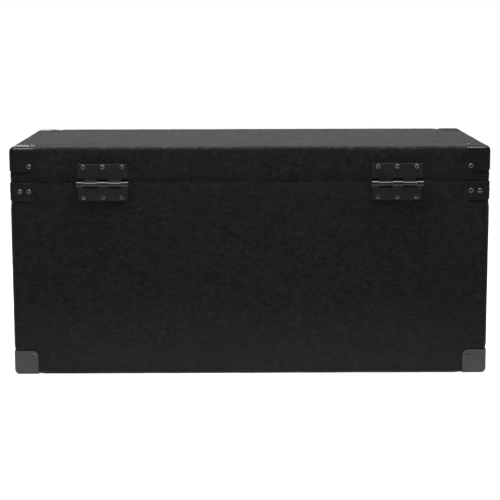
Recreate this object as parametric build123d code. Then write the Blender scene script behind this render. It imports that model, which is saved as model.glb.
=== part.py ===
from build123d import *

import os
from math import cos, radians, sin

# Vinyl record case with a lift-up lid, in millimetres.
# X runs along the case, the latches are on the -Y face, the hinges on the +Y face, Z is up from the floor.

# Carcass
case_length = 750.0
case_depth = 350.0
base_height = 306.5
lid_height = 54.3
seam_gap = 0.5
ply = 9.0
carpet = 3.0
carpet_edge_radius = 6.5
rim_bevel = 2.0

# Inner fittings
divider_height = 235.0
divider_groove = 4.0
divider_clearance = 0.15
divider_scoop_radius = 260.0
divider_scoop_depth = 55.0
floor_pad = 6.0
lid_pad = 10.0
pad_clearance = 2.0

# Pressed steel corners and rim brackets
steel = 1.2
corner_leg = 38.0
corner_free_radius = 8.0
corner_rivet_inset = 7.0
bracket_leg = 39.0
bracket_height = 28.0
bracket_drop = 0.2
bracket_free_bevel = 2.0
bracket_rivet_places = (16.0, 30.0)

# Flats on a bore that a pin fills
bore_sides = 12

# Blind rivets
rivet_head_radius = 4.0
rivet_head_taper = 42.0
rivet_head_height = 1.8
rivet_head_sides = 8
rivet_shank_radius = 2.4
rivet_shank_sides = 4
rivet_end_gap = 1.0

# Hinges
hinge_inset = 144.5
leaf_shoulder = 1.5
leaf_steel = 1.5
leaf_free_radius = 3.0
upper_leaf_height = 28.8
lower_leaf_height = 29.2
upper_rivet_height = 23.9
lower_rivet_drop = 23.5
hinge_rivet_pitch = 30.0
hinge_axis_drop = 2.8
barrel_length = 81.0
end_knuckle = 11.0
centre_knuckle = 15.4
knuckle_gap = 0.3
thick_knuckle_radius = 5.0
thin_knuckle_radius = 3.6
hinge_pin_radius = 2.0
running_clearance = 0.08
upper_notch_rise = 8.5
lower_notch_drop = 6.5
strap_step = 1.2

# Latches
latch_inset = 185.0
latch_drop = 52.0
latch_steel = 1.2
latch_box_width = 32.4
latch_box_projection = 8.8
latch_box_bevel = 2.0
latch_flange_width = 58.0
latch_flange_height = 52.0
latch_flange_radius = 5.0
latch_rivet_inset = 6.0
crank_throw = 6.0
crank_radius = 10.0
crank_thickness = 2.0
crank_gap = 1.5
crank_pin_radius = 2.0
disc_sides = 16
spindle_radius = 4.0
spindle_square = 5.0
hub_radius = 8.0
hub_height = 4.6
wing_length = 38.0
wing_waist = 4.0
wing_tip = 6.4
wing_height = 8.2
wing_tip_bevel = 2.6
slide_clearance = 0.3
yoke_steel = 2.0
yoke_height = 14.0
yoke_end_room = 0.6
yoke_neck_width = 22.0
yoke_stand_off = 1.5
# The pin's height leaves a steady slide by at most this share of the crank throw.
crank_lag_share = 0.2105
claw_pivot_rise = 32.0
claw_tilt = 11.0
claw_steel = 2.0
claw_width = 22.0
claw_knuckle_radius = 3.5
claw_knuckle_width = 11.4
claw_pin_radius = 1.5
claw_bend = 8.0
hook_drop = 4.8
hook_play = 0.2
keeper_rise = 7.0
keeper_width = 46.0
keeper_height = 28.0
keeper_steel = 1.5
keeper_lip_height = 4.0
keeper_lip_width = 24.0
keeper_trough = 3.1
keeper_rivet_spread = 34.0
keeper_rivet_rise = 17.0
keeper_free_radius = 4.0
hook_wall_gap = 0.5

# End handles
handle_height = 205.0
handle_plate_length = 142.0
handle_plate_height = 34.0
handle_steel = 1.5
handle_free_radius = 8.0
handle_rivet_spread = 126.0
handle_rivet_rise = 9.0
bail_radius = 3.5
bail_sides = 8
bail_bend_steps = 3
grip_sides = 16
bail_width = 114.0
bail_drop = 42.0
bail_bend_radius = 9.0
bail_projection = 10.0
bail_stub = 21.5
eye_radius = 6.0
eye_width = 10.0
eye_spread = 84.0
grip_radius = 9.0
grip_length = 84.0
grip_taper = 8.0
grip_draw_in = 1.7

# Places that follow from the sizes above
half_length = case_length / 2
half_depth = case_depth / 2
carpet_bottom = steel
ply_bottom = carpet_bottom + carpet
rim_top = carpet_bottom + base_height
ply_rim = rim_top - carpet
lid_bottom = rim_top + seam_gap
lid_ply_bottom = lid_bottom + carpet
lid_top = lid_bottom + lid_height
lid_ply_top = lid_top - carpet
lid_rail_top = lid_ply_top - ply
seam_height = rim_top + seam_gap / 2
ply_length = case_length - 2 * carpet
ply_depth = case_depth - 2 * carpet
ply_edge_radius = carpet_edge_radius - carpet
inner_length = ply_length - 2 * ply
inner_depth = ply_depth - 2 * ply
floor_top = ply_bottom + ply
corner_radius = carpet_edge_radius + steel
corner_rivet_place = corner_leg - corner_rivet_inset
rivet_reach = carpet + ply - rivet_end_gap
hinge_axis_height = seam_height - hinge_axis_drop
hinge_axis_offset = thick_knuckle_radius
leaf_width = barrel_length - 2 * leaf_shoulder
latch_height = seam_height - latch_drop

# The two sides along an axis
sides = {"left": -1, "right": 1}
ends = {"front": -1, "rear": 1}

parts = {}


def block(x_low, x_high, y_low, y_high, z_low, z_high):
    """A box between two opposite corners."""
    size = Box(x_high - x_low, y_high - y_low, z_high - z_low)
    return Pos((x_low + x_high) / 2, (y_low + y_high) / 2, (z_low + z_high) / 2) * size


def centred_block(length, depth, z_low, z_high):
    """A box centred on the case's upright axis."""
    return block(-length / 2, length / 2, -depth / 2, depth / 2, z_low, z_high)


def rounded_edges(body, axis, radius, z_side=0):
    """The body with its edges along one axis rounded: all, or those at its bottom (-1) or top (+1)."""
    edges = body.edges().filter_by(axis)
    if z_side:
        edges = edges.group_by(Axis.Z)[0 if z_side < 0 else -1]
    return fillet(edges, radius)


def rounded_tub(length, depth, z_low, z_high, radius, z_side):
    """A solid tub shape, rounded on its upright edges and round its closed end, with mitred vertices."""
    body = centred_block(length, depth, z_low, z_high)
    upright = rounded_edges(body, Axis.Z, radius)
    return upright & rounded_edges(body, Axis.X, radius, z_side) & rounded_edges(body, Axis.Y, radius, z_side)


def rod(start, direction, radius, length):
    """A round rod from a point along a direction."""
    return Plane(origin=start, z_dir=direction).location * Cylinder(
        radius, length, align=(Align.CENTER, Align.CENTER, Align.MIN)
    )


def bore(start, direction, radius, length):
    """A bore whose flats touch a circle of that radius."""
    outline = RegularPolygon(radius, bore_sides, major_radius=False)
    return extrude(Plane(origin=start, z_dir=direction) * outline, amount=length)


def along_x(outline, x_low, x_high):
    """Extrude an outline of (y, z) points between two places along X."""
    face = Plane(origin=(x_low, 0, 0), x_dir=(0, 1, 0), z_dir=(1, 0, 0)) * Polygon(*outline, align=None)
    return extrude(face, amount=x_high - x_low, dir=(1, 0, 0))


def mirrored(shape, side_x=1, side_y=1):
    """The shape on the chosen side of the case's two upright middle planes."""
    if side_x < 0:
        shape = mirror(shape, about=Plane.YZ)
    if side_y < 0:
        shape = mirror(shape, about=Plane.XZ)
    return shape


def seat(point, outward):
    """Where a rivet sits: the outer face of its sheet, looking outward."""
    return Plane(origin=point, z_dir=outward).location


def rivet_shank():
    """The shank below the head, short of the plywood's inner face."""
    outline = RegularPolygon(rivet_shank_radius, rivet_shank_sides)
    return extrude(outline, amount=-(rivet_reach + steel))


def rivet():
    """One domed blind rivet, its head on the plane z = 0."""
    outline = RegularPolygon(rivet_head_radius, rivet_head_sides)
    head = extrude(outline, amount=rivet_head_height, taper=rivet_head_taper)
    return head + rivet_shank()


def group(shapes):
    """Like pieces of one body as separate solids of one node."""
    return Compound(children=[shape.solid() for shape in shapes])


def rivet_group(seats):
    """Identical rivets, one on each seat."""
    one = rivet()
    return group([place * one for place in seats])


def pierced(sheet, seats):
    """A steel sheet with a hole for each rivet."""
    for place in seats:
        sheet = sheet - place * rivet_shank()
    return sheet


def add_base_panels():
    """Five plywood panels: front and rear run full length, the ends and the floor sit between them."""
    tub = rounded_tub(ply_length, ply_depth, ply_bottom, ply_rim, ply_edge_radius, -1)
    groove = block(
        -ply / 2 - divider_clearance,
        ply / 2 + divider_clearance,
        -inner_depth / 2 - divider_groove,
        inner_depth / 2 + divider_groove,
        floor_top,
        ply_rim,
    )
    for name, side in ends.items():
        y_low, y_high = sorted((side * inner_depth / 2, side * ply_depth / 2))
        wall = block(-ply_length / 2, ply_length / 2, y_low, y_high, ply_bottom, ply_rim)
        parts[f"base_{name}_panel"] = (tub & wall) - groove
    for name, side in sides.items():
        x_low, x_high = sorted((side * inner_length / 2, side * ply_length / 2))
        wall = block(x_low, x_high, -inner_depth / 2, inner_depth / 2, ply_bottom, ply_rim)
        parts[f"base_{name}_panel"] = tub & wall
    parts["base_floor_panel"] = centred_block(inner_length, inner_depth, ply_bottom, floor_top)


def add_divider():
    """One plywood divider in the grooves, scooped at the top so that records can be lifted out."""
    top = floor_top + divider_height
    board = block(
        -ply / 2,
        ply / 2,
        -inner_depth / 2 - divider_groove + divider_clearance,
        inner_depth / 2 + divider_groove - divider_clearance,
        floor_top,
        top,
    )
    scoop_centre = top - divider_scoop_depth + divider_scoop_radius
    scoop = Pos(0, 0, scoop_centre) * Rot(0, 90, 0) * Cylinder(divider_scoop_radius, 2 * ply)
    parts["centre_divider"] = board - scoop


def add_base_soft_parts():
    """The carpet, folded over the rim, and a foam pad on the floor of each bay."""
    outer = rounded_tub(case_length, case_depth, carpet_bottom, rim_top, carpet_edge_radius, -1)
    outer = chamfer(outer.faces().sort_by(Axis.Z)[-1].edges(), rim_bevel)
    wood = rounded_tub(ply_length, ply_depth, ply_bottom, ply_rim, ply_edge_radius, -1)
    mouth = centred_block(inner_length, inner_depth, floor_top, rim_top + carpet)
    parts["base_carpet"] = outer - wood - mouth
    near = ply / 2 + pad_clearance
    far = inner_length / 2 - pad_clearance
    width = inner_depth / 2 - pad_clearance
    pad = block(near, far, -width, width, floor_top, floor_top + floor_pad)
    parts["floor_pads"] = group([mirrored(pad, side_x) for side_x in sides.values()])


def add_lid_carcass():
    """A plywood top panel on four rails, the lid's carpet, and a foam pad that holds the records down."""
    tub = rounded_tub(ply_length, ply_depth, lid_ply_bottom, lid_ply_top, ply_edge_radius, 1)
    top = centred_block(ply_length, ply_depth, lid_rail_top, lid_ply_top)
    parts["lid_top_panel"] = tub & top
    for name, side in ends.items():
        y_low, y_high = sorted((side * inner_depth / 2, side * ply_depth / 2))
        rail = block(-ply_length / 2, ply_length / 2, y_low, y_high, lid_ply_bottom, lid_rail_top)
        parts[f"lid_{name}_rail"] = tub & rail
    for name, side in sides.items():
        x_low, x_high = sorted((side * inner_length / 2, side * ply_length / 2))
        rail = block(x_low, x_high, -inner_depth / 2, inner_depth / 2, lid_ply_bottom, lid_rail_top)
        parts[f"lid_{name}_rail"] = tub & rail
    outer = rounded_tub(case_length, case_depth, lid_bottom, lid_top, carpet_edge_radius, 1)
    outer = chamfer(outer.faces().sort_by(Axis.Z)[0].edges(), rim_bevel)
    mouth = centred_block(inner_length, inner_depth, lid_bottom - carpet, lid_rail_top)
    parts["lid_carpet"] = outer - tub - mouth
    pad_length = inner_length - 2 * pad_clearance
    pad_depth = inner_depth - 2 * pad_clearance
    parts["lid_pad"] = centred_block(pad_length, pad_depth, lid_rail_top - lid_pad, lid_rail_top)


def vertex_block(offset, leg, radius):
    """A block with its outer vertex near the origin and the three edges that meet there rounded."""
    body = block(-leg, -offset, -leg, -offset, offset, leg)
    vertex = Vector(-offset, -offset, offset)
    rounded = body
    for axis in (Axis.X, Axis.Y, Axis.Z):
        edge = body.edges().filter_by(axis).sort_by(lambda one: (one.center() - vertex).length)[0]
        rounded = rounded & fillet(edge, radius)
    return rounded


def corner_shell():
    """A pressed three-leg corner with its outer vertex at the origin and its legs along -X, -Y and +Z."""
    inner = vertex_block(steel, corner_leg + corner_radius, carpet_edge_radius)
    shell = vertex_block(0, corner_leg, corner_radius) - inner
    free = [edge for edge in shell.edges() if abs(edge.length - steel) < steel / 100]
    return fillet(free, corner_free_radius)


def corner_seats(side_x, side_y, upper):
    """Rivet places on one corner: two side legs, and the top leg on the lid."""
    x_face = half_length + steel
    y_face = half_depth + steel
    x = side_x * (x_face - corner_rivet_place)
    y = side_y * (y_face - corner_rivet_place)
    z = lid_top + steel - corner_rivet_place if upper else corner_rivet_place
    seats = [seat((x, side_y * y_face, z), (0, side_y, 0)), seat((side_x * x_face, y, z), (side_x, 0, 0))]
    if upper:
        seats.append(seat((x, y, lid_top + steel), (0, 0, 1)))
    return seats


def add_corners():
    """Eight steel corners over the carpet; the case stands on the lower four."""
    shell = corner_shell()
    lower = Pos(half_length + steel, half_depth + steel, 0) * shell
    upper = Pos(half_length + steel, half_depth + steel, lid_top + steel) * mirror(shell, about=Plane.XY)
    for name, body, is_upper in (("base", lower, False), ("lid", upper, True)):
        all_seats = []
        for end, side_y in ends.items():
            pair = []
            for side_x in sides.values():
                seats = corner_seats(side_x, side_y, is_upper)
                pair.append(pierced(mirrored(body, side_x, side_y), seats))
                all_seats += seats
            parts[f"{name}_corners_{end}"] = group(pair)
        parts[f"{name}_corner_rivets"] = rivet_group(all_seats)


def outer_upright(body):
    """The upright edge of a block that is farthest along +X and +Y."""
    return body.edges().filter_by(Axis.Z).sort_by(lambda edge: edge.center().X + edge.center().Y)[-1]


def add_brackets():
    """Four rim brackets, two rivets in each leg."""
    top = rim_top - bracket_drop
    low = top - bracket_height
    x_face = half_length + steel
    y_face = half_depth + steel
    outer = block(x_face - bracket_leg, x_face, y_face - bracket_leg, y_face, low, top)
    cut = bracket_leg + corner_radius
    inner = block(half_length - cut, half_length, half_depth - cut, half_depth, low, top)
    strip = fillet(outer_upright(outer), corner_radius) - fillet(outer_upright(inner), carpet_edge_radius)
    free = [edge for edge in strip.edges() if abs(edge.length - steel) < steel / 100]
    strip = chamfer(free, bracket_free_bevel)
    all_seats = []
    height = (low + top) / 2
    for end, side_y in ends.items():
        pair = []
        for side_x in sides.values():
            seats = []
            for place in bracket_rivet_places:
                seats.append(seat((side_x * (x_face - place), side_y * y_face, height), (0, side_y, 0)))
                seats.append(seat((side_x * x_face, side_y * (y_face - place), height), (side_x, 0, 0)))
            pair.append(pierced(mirrored(strip, side_x, side_y), seats))
            all_seats += seats
        parts[f"rim_brackets_{end}"] = group(pair)
    parts["bracket_rivets"] = rivet_group(all_seats)


def rounded_plate(plate, thickness, radius):
    """A thin plate with its four free corners rounded."""
    free = [edge for edge in plate.edges() if abs(edge.length - thickness) < thickness / 100]
    return fillet(free, radius)


def knuckle_spans():
    """The barrel's knuckles from one end to the other: thick, thin, thick, thin, thick."""
    thin = (barrel_length - 2 * end_knuckle - centre_knuckle) / 2
    spans = []
    x = -barrel_length / 2
    for width in (end_knuckle, thin, centre_knuckle, thin, end_knuckle):
        spans.append((x, x + width))
        x += width
    return spans


def hinge_seats(centre, height):
    """A row of three rivets on a leaf."""
    y = half_depth + leaf_steel
    return [seat((centre + step * hinge_rivet_pitch, y, height), (0, 1, 0)) for step in (-1, 0, 1)]


def lower_leaf():
    """The leaf on the base: three thick knuckles rolled from its top edge."""
    y = half_depth
    axis_y = y + hinge_axis_offset
    z = hinge_axis_height
    bottom = seam_height - lower_leaf_height
    notch = z - lower_notch_drop
    plate = block(-leaf_width / 2, leaf_width / 2, y, y + leaf_steel, bottom, notch)
    low = plate.edges().filter_by(Axis.Y).sort_by(Axis.Z)[:2]
    leaf = fillet(low, leaf_free_radius)
    for x_low, x_high in knuckle_spans()[0::2]:
        strap = block(max(x_low, -leaf_width / 2), min(x_high, leaf_width / 2), y, y + leaf_steel, notch, z)
        barrel = rod((x_low, axis_y, z), (1, 0, 0), thick_knuckle_radius, x_high - x_low)
        leaf = leaf + strap + barrel
    return leaf - bore((-barrel_length / 2, axis_y, z), (1, 0, 0), hinge_pin_radius, barrel_length)


def upper_leaf():
    """The leaf on the lid: two thin knuckles rolled from its bottom edge, between the thick ones."""
    y = half_depth
    axis_y = y + hinge_axis_offset
    z = hinge_axis_height
    top = seam_height + upper_leaf_height
    notch = z + upper_notch_rise
    plate = block(-leaf_width / 2, leaf_width / 2, y, y + leaf_steel, notch, top)
    high = plate.edges().filter_by(Axis.Y).sort_by(Axis.Z)[-2:]
    leaf = fillet(high, leaf_free_radius)
    strap = [
        (y, notch),
        (y, lid_bottom + rim_bevel),
        (axis_y - thin_knuckle_radius, z),
        (axis_y, z),
        (y + leaf_steel + strap_step, z + thin_knuckle_radius / 2),
        (y + leaf_steel + strap_step, z + thin_knuckle_radius),
        (y + leaf_steel, notch),
    ]
    for x_low, x_high in knuckle_spans()[1::2]:
        x_low += knuckle_gap
        x_high -= knuckle_gap
        barrel = rod((x_low, axis_y, z), (1, 0, 0), thin_knuckle_radius, x_high - x_low)
        leaf = leaf + along_x(strap, x_low, x_high) + barrel
    radius = hinge_pin_radius + running_clearance
    return leaf - bore((-barrel_length / 2, axis_y, z), (1, 0, 0), radius, barrel_length)


def add_hinges():
    """Two butt hinges on the rear face, each with two leaves and a pin."""
    upper = upper_leaf()
    lower = lower_leaf()
    upper_leaves = []
    lower_leaves = []
    pins = []
    lid_seats = []
    base_seats = []
    for side in sides.values():
        centre = side * (half_length - hinge_inset)
        on_lid = hinge_seats(centre, seam_height + upper_rivet_height)
        on_base = hinge_seats(centre, seam_height - lower_rivet_drop)
        upper_leaves.append(pierced(Pos(centre, 0, 0) * upper, on_lid))
        lower_leaves.append(pierced(Pos(centre, 0, 0) * lower, on_base))
        start = (centre - barrel_length / 2, half_depth + hinge_axis_offset, hinge_axis_height)
        pins.append(rod(start, (1, 0, 0), hinge_pin_radius, barrel_length))
        lid_seats += on_lid
        base_seats += on_base
    parts["hinge_upper_leaves"] = group(upper_leaves)
    parts["hinge_lower_leaves"] = group(lower_leaves)
    parts["hinge_pins"] = group(pins)
    parts["lid_hinge_rivets"] = rivet_group(lid_seats)
    parts["base_hinge_rivets"] = rivet_group(base_seats)


def front_block(x_low, x_high, out_low, out_high, z_low, z_high):
    """A box on the front face, its depth measured outward from the carpet."""
    return block(x_low, x_high, -half_depth - out_high, -half_depth - out_low, z_low, z_high)


def front_rod(x, z, out_low, out_high, radius):
    """A round rod that stands out from the front face."""
    return rod((x, -half_depth - out_low, z), (0, -1, 0), radius, out_high - out_low)


def front_bore(z, radius, out_high):
    """A bore into the front face, on a latch's middle plane."""
    return bore((0, -half_depth, z), (0, -1, 0), radius, out_high)


def front_prism(x, z, out_low, out_high, radius):
    """A many-sided stamped disc that stands out from the front face."""
    face = Plane(origin=(x, -half_depth - out_low, z), z_dir=(0, -1, 0)) * RegularPolygon(radius, disc_sides)
    return extrude(face, amount=out_high - out_low)


def front_outline(points, x_low, x_high):
    """Extrude along X an outline of (distance out from the front carpet, z) points."""
    return along_x([(-half_depth - out, z) for out, z in points], x_low, x_high)


# Places inside a latch: heights above the floor, and distances out from the front carpet
yoke_out = yoke_stand_off + yoke_steel
crank_out = yoke_out + crank_gap
crank_front = crank_out + crank_thickness
box_inner_front = latch_box_projection - latch_steel
box_half_height = crank_throw + yoke_height / 2 + yoke_end_room
box_top = latch_height + box_half_height + latch_steel
slot_half_height = crank_pin_radius + crank_lag_share * crank_throw + slide_clearance
pivot_out = yoke_stand_off + claw_knuckle_radius
pivot_height = latch_height + claw_pivot_rise
latch_stroke = 2 * crank_throw
ear_bottom = box_top + latch_stroke + slide_clearance
keeper_bottom = seam_height + keeper_rise
ledge_top = keeper_bottom + keeper_steel
hook_out = pivot_out + claw_knuckle_radius
hook_inner = keeper_steel + hook_wall_gap
hook_bottom = ledge_top + hook_play + latch_stroke


def latch_seats(centre):
    """Four rivets at the corners of a latch case's flange."""
    x = latch_flange_width / 2 - latch_rivet_inset
    z = latch_flange_height / 2 - latch_rivet_inset
    y = -half_depth - latch_steel
    corners = [(sx * x, sz * z) for sx in (-1, 1) for sz in (-1, 1)]
    return [seat((centre + dx, y, latch_height + dz), (0, -1, 0)) for dx, dz in corners]


def latch_case():
    """A pressed box with a flange, open at the back, with a bore for the spindle and a slot for the yoke."""
    half_width = latch_box_width / 2
    box_bottom = 2 * latch_height - box_top
    raised = front_block(-half_width, half_width, 0, latch_box_projection, box_bottom, box_top)
    raised = chamfer(raised.faces().sort_by(Axis.Y)[0].edges(), latch_box_bevel)
    flange = front_block(
        -latch_flange_width / 2,
        latch_flange_width / 2,
        0,
        latch_steel,
        latch_height - latch_flange_height / 2,
        latch_height + latch_flange_height / 2,
    )
    flange = rounded_plate(flange, latch_steel, latch_flange_radius)
    room = front_block(
        latch_steel - half_width,
        half_width - latch_steel,
        0,
        box_inner_front,
        latch_height - box_half_height,
        latch_height + box_half_height,
    )
    neck = yoke_neck_width / 2 + slide_clearance
    slot = front_block(
        -neck, neck, latch_steel, yoke_out + slide_clearance, latch_height, latch_height + 2 * box_half_height
    )
    spindle_hole = front_bore(latch_height, spindle_radius + running_clearance, latch_box_projection)
    return flange + raised - room - slot - spindle_hole


def latch_wing():
    """The turning knob: a stepped spindle, a hub and a bow-tie wing to grip."""
    half = spindle_square / 2
    neck = front_block(-half, half, crank_out, crank_front, latch_height - half, latch_height + half)
    spindle = front_rod(0, latch_height, crank_front, latch_box_projection + slide_clearance, spindle_radius)
    hub_low = latch_box_projection + slide_clearance
    hub = front_prism(0, latch_height, hub_low, hub_low + hub_height, hub_radius)
    low = wing_waist / 2
    high = wing_tip / 2
    half = wing_length / 2
    bow = Polygon((-half, -high), (0, -low), (half, -high), (half, high), (0, low), (-half, high), align=None)
    face = Plane(origin=(0, -half_depth - hub_low, latch_height), x_dir=(0, 0, 1), z_dir=(0, -1, 0)) * bow
    wing = extrude(face, amount=wing_height)
    tips = wing.edges().filter_by(Axis.X).group_by(Axis.Y)[0]
    wing = chamfer(tips, wing_tip_bevel)
    return neck + spindle + hub + wing


def latch_crank():
    """The disc pressed on the spindle, with the pin that drives the yoke, at its top."""
    disc = front_prism(0, latch_height, crank_out, crank_front, crank_radius)
    half = spindle_square / 2
    disc = disc - front_block(-half, half, crank_out, crank_front, latch_height - half, latch_height + half)
    return disc + front_rod(0, latch_height + crank_throw, yoke_stand_off, crank_out, crank_pin_radius)


def latch_yoke():
    """The slotted plate that the crank raises and lowers, with two ears for the claw at its top."""
    centre = latch_height + crank_throw
    half_width = latch_box_width / 2 - latch_steel - slide_clearance
    plate = front_block(
        -half_width, half_width, yoke_stand_off, yoke_out, centre - yoke_height / 2, centre + yoke_height / 2
    )
    half_slot = crank_throw + crank_pin_radius + slide_clearance
    slot = front_block(
        -half_slot, half_slot, yoke_stand_off, yoke_out, centre - slot_half_height, centre + slot_half_height
    )
    slot = chamfer(slot.edges().filter_by(Axis.Y), crank_pin_radius / 2)
    neck = yoke_neck_width / 2
    neck_plate = front_block(-neck, neck, yoke_stand_off, yoke_out, centre, pivot_height)
    reach = pivot_out + claw_knuckle_radius
    tip = claw_knuckle_radius / 2
    ear = [
        (yoke_stand_off, pivot_height + claw_knuckle_radius),
        (yoke_stand_off, ear_bottom),
        (yoke_out, ear_bottom),
        (reach, pivot_height - tip),
        (reach, pivot_height + tip),
        (reach - tip, pivot_height + claw_knuckle_radius),
    ]
    pivot = (-neck, -half_depth - pivot_out, pivot_height)
    gap = claw_knuckle_width / 2 + slide_clearance
    notch = front_block(
        -gap,
        gap,
        0,
        latch_box_projection,
        pivot_height - claw_knuckle_radius - slide_clearance,
        pivot_height + 2 * claw_knuckle_radius,
    )
    pin_hole = bore(pivot, (1, 0, 0), claw_pin_radius, yoke_neck_width)
    return plate + neck_plate + front_outline(ear, -neck, neck) - slot - notch - pin_hole


def latch_claw():
    """The pull-down hook, leaning outward from its pivot until it is pushed over the keeper."""
    half = claw_width / 2
    low = pivot_height + claw_bend - claw_steel
    hook_top = hook_bottom + hook_drop + claw_steel
    stem = front_block(-half, half, hook_out - claw_steel, hook_out, low, hook_top)
    shelf = front_block(-half, half, hook_inner, hook_out, hook_top - claw_steel, hook_top)
    lip = front_block(-half, half, hook_inner, hook_inner + claw_steel, hook_bottom, hook_top)
    knuckle_half = claw_knuckle_width / 2
    bend = [
        (hook_out, pivot_height),
        (hook_out, low + claw_steel),
        (hook_out - claw_steel, low + claw_steel),
        (pivot_out, pivot_height + claw_knuckle_radius),
        (pivot_out, pivot_height),
    ]
    pivot = (-knuckle_half, -half_depth - pivot_out, pivot_height)
    barrel = rod(pivot, (1, 0, 0), claw_knuckle_radius, claw_knuckle_width)
    pin_hole = bore(pivot, (1, 0, 0), claw_pin_radius + running_clearance, claw_knuckle_width)
    upright = stem + shelf + lip + front_outline(bend, -knuckle_half, knuckle_half) + barrel - pin_hole
    crown = upright.edges().filter_by(Axis.X).group_by(Axis.Z)[-1].sort_by(Axis.Y)[0]
    upright = fillet(crown, claw_steel / 2)
    return upright.rotate(Axis(pivot, (1, 0, 0)), claw_tilt)


def latch_keeper():
    """The catch plate on the lid: a ledge with an upturned lip below a riveted plate."""
    top = keeper_bottom + keeper_height
    plate = front_block(-keeper_width / 2, keeper_width / 2, 0, keeper_steel, keeper_bottom, top)
    plate = rounded_plate(plate, keeper_steel, keeper_free_radius)
    half = keeper_lip_width / 2
    lip_inner = keeper_steel + keeper_trough
    lip_outer = lip_inner + keeper_steel
    ledge = front_block(-half, half, 0, lip_outer, keeper_bottom, ledge_top)
    lip = front_block(-half, half, lip_inner, lip_outer, keeper_bottom, ledge_top + keeper_lip_height)
    return plate + ledge + lip


def keeper_seats(centre):
    """Two rivets beside the hook's path."""
    y = -half_depth - keeper_steel
    z = keeper_bottom + keeper_rivet_rise
    return [seat((centre + side * keeper_rivet_spread / 2, y, z), (0, -1, 0)) for side in (-1, 1)]


def add_latches():
    """Two latches on the front face, drawn open: yoke raised and claw leaning out."""
    case_seats = []
    lid_seats = []
    for name, side in sides.items():
        centre = side * (half_length - latch_inset)
        place = Pos(centre, 0, 0)
        on_case = latch_seats(centre)
        on_lid = keeper_seats(centre)
        parts[f"latch_{name}_case"] = pierced(place * latch_case(), on_case)
        parts[f"latch_{name}_wing"] = place * latch_wing()
        parts[f"latch_{name}_crank"] = place * latch_crank()
        parts[f"latch_{name}_yoke"] = place * latch_yoke()
        parts[f"latch_{name}_claw"] = place * latch_claw()
        pin = (centre - yoke_neck_width / 2, -half_depth - pivot_out, pivot_height)
        parts[f"latch_{name}_claw_pin"] = rod(pin, (1, 0, 0), claw_pin_radius, yoke_neck_width)
        parts[f"latch_{name}_keeper"] = pierced(place * latch_keeper(), on_lid)
        case_seats += on_case
        lid_seats += on_lid
    parts["latch_rivets"] = rivet_group(case_seats)
    parts["keeper_rivets"] = rivet_group(lid_seats)


def handle_plate():
    """The plate on the right end, with two eyes rolled out for the bail."""
    x = half_length
    plate = block(
        x,
        x + handle_steel,
        -handle_plate_length / 2,
        handle_plate_length / 2,
        handle_height - handle_plate_height / 2,
        handle_height + handle_plate_height / 2,
    )
    plate = rounded_plate(plate, handle_steel, handle_free_radius)
    for side in (-1, 1):
        low = side * eye_spread / 2 - eye_width / 2
        start = (x + bail_projection, low, handle_height)
        reach = x + bail_projection + eye_radius
        ear = block(x, reach, low, low + eye_width, handle_height - eye_radius, handle_height + eye_radius)
        plate = plate + chamfer(ear.edges().filter_by(Axis.Y).group_by(Axis.X)[-1], eye_radius / 2)
        plate = plate - rod(start, (0, 1, 0), bail_radius + running_clearance, eye_width)
    return plate


def bail_bend(centre_y, centre_z, start_angle):
    """Points (y, z) round a quarter bend, from one of its tangent points to the other."""
    points = []
    for step in range(bail_bend_steps + 1):
        angle = radians(start_angle - 90 * step / bail_bend_steps)
        points.append((centre_y + bail_bend_radius * cos(angle), centre_z + bail_bend_radius * sin(angle)))
    return points


def handle_bail():
    """A bent steel bail on the right end, hanging from the eyes."""
    half = bail_width / 2
    near = half - bail_bend_radius
    upper = bail_bend(near, handle_height - bail_bend_radius, 90)
    lower = bail_bend(near, handle_height - bail_drop + bail_bend_radius, 0)
    run = [(half - bail_stub, handle_height)] + upper + lower
    run += [(-y, z) for y, z in reversed(run)]
    x = half_length + bail_projection
    points = [(x, y, z) for y, z in run]
    start = Plane(origin=points[0], x_dir=(1, 0, 0), z_dir=(0, 1, 0))
    outline = start * RegularPolygon(bail_radius, bail_sides)
    return sweep(outline, path=Polyline(*points), transition=Transition.RIGHT)


def handle_grip():
    """A rubber grip moulded on the bail, drawn in at its ends."""
    centre = (half_length + bail_projection, 0, handle_height - bail_drop)
    along = Plane(origin=centre, x_dir=(1, 0, 0), z_dir=(0, 1, 0))
    side = extrude(along * RegularPolygon(grip_radius, grip_sides), amount=grip_length / 2)
    end = side.faces().sort_by(Axis.Y)[-1]
    side = chamfer(end.edges(), grip_draw_in, length2=grip_taper, reference=end)
    side = side - extrude(along * RegularPolygon(bail_radius, bail_sides), amount=grip_length / 2)
    return side + mirror(side, about=Plane.XZ)


def handle_seats(side):
    """Four rivets at the corners of a handle plate."""
    x = side * (half_length + handle_steel)
    corners = [(sy * handle_rivet_spread / 2, sz * handle_rivet_rise) for sy in (-1, 1) for sz in (-1, 1)]
    return [seat((x, dy, handle_height + dz), (side, 0, 0)) for dy, dz in corners]


def add_handles():
    """A drop handle on each end of the base."""
    all_seats = []
    for name, side in sides.items():
        seats = handle_seats(side)
        parts[f"handle_{name}_plate"] = pierced(mirrored(handle_plate(), side), seats)
        parts[f"handle_{name}_bail"] = mirrored(handle_bail(), side)
        parts[f"handle_{name}_grip"] = mirrored(handle_grip(), side)
        all_seats += seats
    parts["handle_rivets"] = rivet_group(all_seats)


add_base_panels()
add_divider()
add_base_soft_parts()
add_lid_carcass()
add_corners()
add_brackets()
add_hinges()
add_latches()
add_handles()

os.makedirs("parts", exist_ok=True)
for node, shape in parts.items():
    export_step(shape, f"parts/{node}.step")
print(len(parts), "nodes")
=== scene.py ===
import math

import bmesh
import bpy
import numpy as np
from mathutils import Matrix, Vector, noise


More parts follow.
